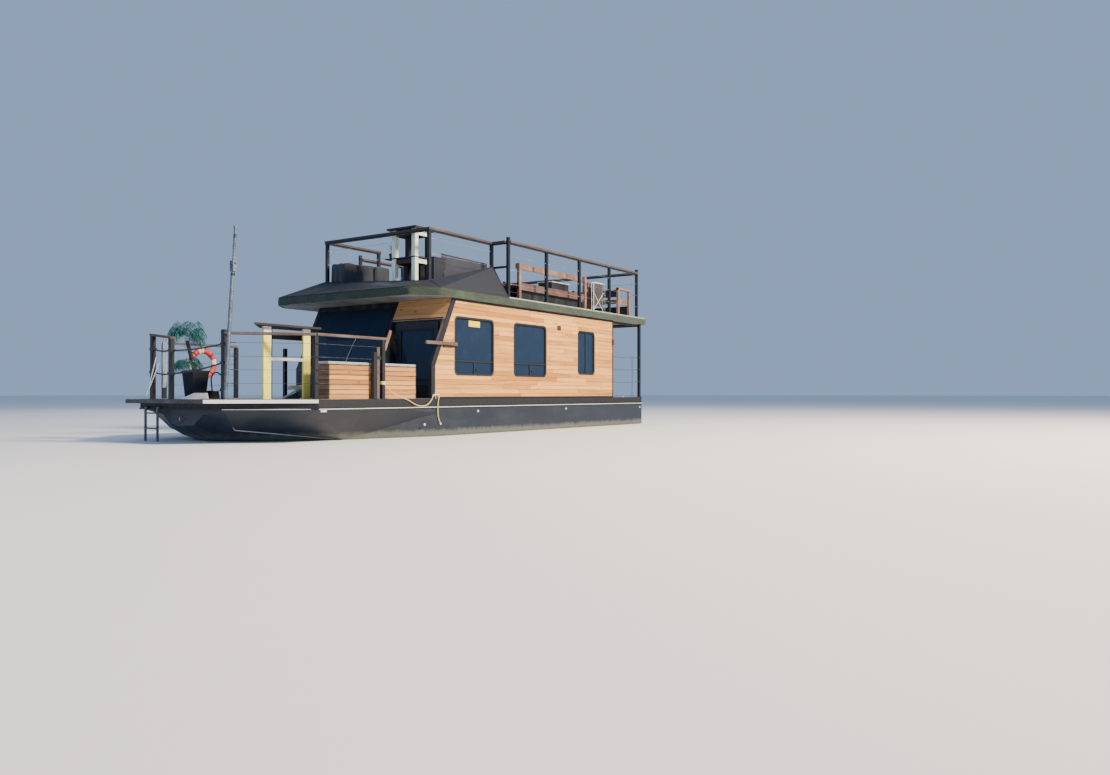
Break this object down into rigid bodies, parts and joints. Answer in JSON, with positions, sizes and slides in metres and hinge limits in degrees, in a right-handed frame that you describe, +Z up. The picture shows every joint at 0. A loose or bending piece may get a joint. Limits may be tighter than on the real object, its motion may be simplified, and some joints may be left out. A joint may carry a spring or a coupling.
{
  "type": "flybridge houseboat",
  "caption": "Timber-clad houseboat on a decked vee hull, with open foredeck, fly deck on the cabin roof, boarding gear and an outdrive.",
  "frame": {"origin": "on the waterline at the transom's centreline", "axes": "+X forward to the bow, +Y to port, +Z up"},
  "size_m": [12.17, 4.168, 4.56],
  "materials": {
    "hull_paint": "worn dark grey hull paint with a green waterline band",
    "deck_paint": "matt black deck edge",
    "engine": "plain block standing for the engine",
    "grey_wood": "weathered wood",
    "black_metal": "black paint",
    "bronze": "bronze propeller",
    "tinted_glass": "dark tinted glass in black frames",
    "planks": "honey-stained horizontal planks",
    "roof_green": "mottled dark green roof edge",
    "charcoal_skin": "charcoal skin",
    "mint_paint": "pale mint painted timber",
    "dark_fabric": "dark weatherproof fabric",
    "dark_plastic": "dark moulded plastic",
    "navy_fabric": "navy canvas",
    "galvanised": "galvanised steel",
    "yellow_paint": "pale yellow painted timber",
    "palm_leaf": "artificial palm leaves",
    "life_red": "red foam ring",
    "pale_cover": "pale grey cover board",
    "yellow_rope": "laid yellow rope"
  },
  "bodies": {
    "boat": {"hull": "hull_paint", "deck": "deck_paint", "engine_block": "engine", "swim_platform": "grey_wood", "drive_housing": "black_metal", "window_port_1": "tinted_glass", "window_port_2": "tinted_glass", "window_port_3": "tinted_glass", "cabin_side_port": "planks", "window_starboard_1": "tinted_glass", "window_starboard_2": "tinted_glass", "window_starboard_3": "tinted_glass", "cabin_side_starboard": "planks", "cabin_front": "planks", "windshield": "tinted_glass", "cabin_rear": "planks", "roof": "roof_green", "visor_coaming": "charcoal_skin", "fly_rail_front": "black_metal", "fly_rail_aft": "black_metal", "fly_bar_frame": "mint_paint", "fly_bar_top": "black_metal", "console": "dark_fabric", "storage_box": "dark_plastic", "windbreak": "navy_fabric", "bench_port": "grey_wood", "bench_stern": "grey_wood", "folding_chair": "dark_fabric", "fore_rail_port": "black_metal", "bow_rope_rail": "black_metal", "fore_rail_starboard": "black_metal", "mast_lower": "galvanised", "bow_bar_frame": "yellow_paint", "bow_bar_top": "black_metal", "planter": "dark_plastic", "palm": "palm_leaf", "lifebuoy": "life_red", "seat_box_fore": "planks", "seat_box_aft": "planks", "aft_post_port": "black_metal", "aft_post_starboard": "black_metal", "roof_ladder": "galvanised", "cleat_port_mid": "galvanised", "cleat_port_aft": "galvanised", "cleat_starboard_aft": "galvanised", "mooring_line": "yellow_rope", "mooring_tail": "yellow_rope"},
    "drive": {"drive_leg": "black_metal"},
    "prop": {"propeller": "bronze"},
    "front_door": {"door_front": "black_metal"},
    "aft_door": {"door_aft": "black_metal"},
    "hatch": {"engine_hatch": "deck_paint"},
    "lid_fore": {"seat_lid_fore": "pale_cover"},
    "lid_aft": {"seat_lid_aft": "pale_cover"},
    "boarding_ladder": {"bow_ladder": "galvanised"},
    "mast_top": {"mast_upper": "galvanised"}
  },
  "joints": [
    {"name": "drive_steer", "type": "hinge", "parent": "boat", "child": "drive", "pos_m": [-0.39, 0, -0.04], "axis": [0, 0, 1], "range_deg": [-28, 28]},
    {"name": "prop_spin", "type": "hinge", "parent": "drive", "child": "prop", "pos_m": [-0.65, 0, -0.52], "axis": [1, 0, 0], "continuous": true},
    {"name": "front_door_swing", "type": "hinge", "parent": "boat", "child": "front_door", "pos_m": [7.214, 0.776, 1.3], "axis": [0, 0, -1], "range_deg": [0, 90]},
    {"name": "aft_door_swing", "type": "hinge", "parent": "boat", "child": "aft_door", "pos_m": [1.141, 0.384, 1.4], "axis": [0, 0, -1], "range_deg": [0, 95]},
    {"name": "hatch_lift", "type": "hinge", "parent": "boat", "child": "hatch", "pos_m": [0.127, 0, 0.67], "axis": [0, -1, 0], "range_deg": [0, 85]},
    {"name": "lid_fore_lift", "type": "hinge", "parent": "boat", "child": "lid_fore", "pos_m": [9.436, 1.964, 1.208], "axis": [-1, 0, 0], "range_deg": [0, 80]},
    {"name": "lid_aft_lift", "type": "hinge", "parent": "boat", "child": "lid_aft", "pos_m": [8.328, 1.964, 1.208], "axis": [-1, 0, 0], "range_deg": [0, 80]},
    {"name": "boarding_ladder_fold", "type": "hinge", "parent": "boat", "child": "boarding_ladder", "pos_m": [11.15, -0.663, 0.53], "axis": [0, -1, 0], "range_deg": [0, 85]},
    {"name": "mast_fold", "type": "hinge", "parent": "boat", "child": "mast_top", "pos_m": [11.06, 1.262, 2.65], "axis": [0, -1, 0], "range_deg": [0, 90]}
  ]
}
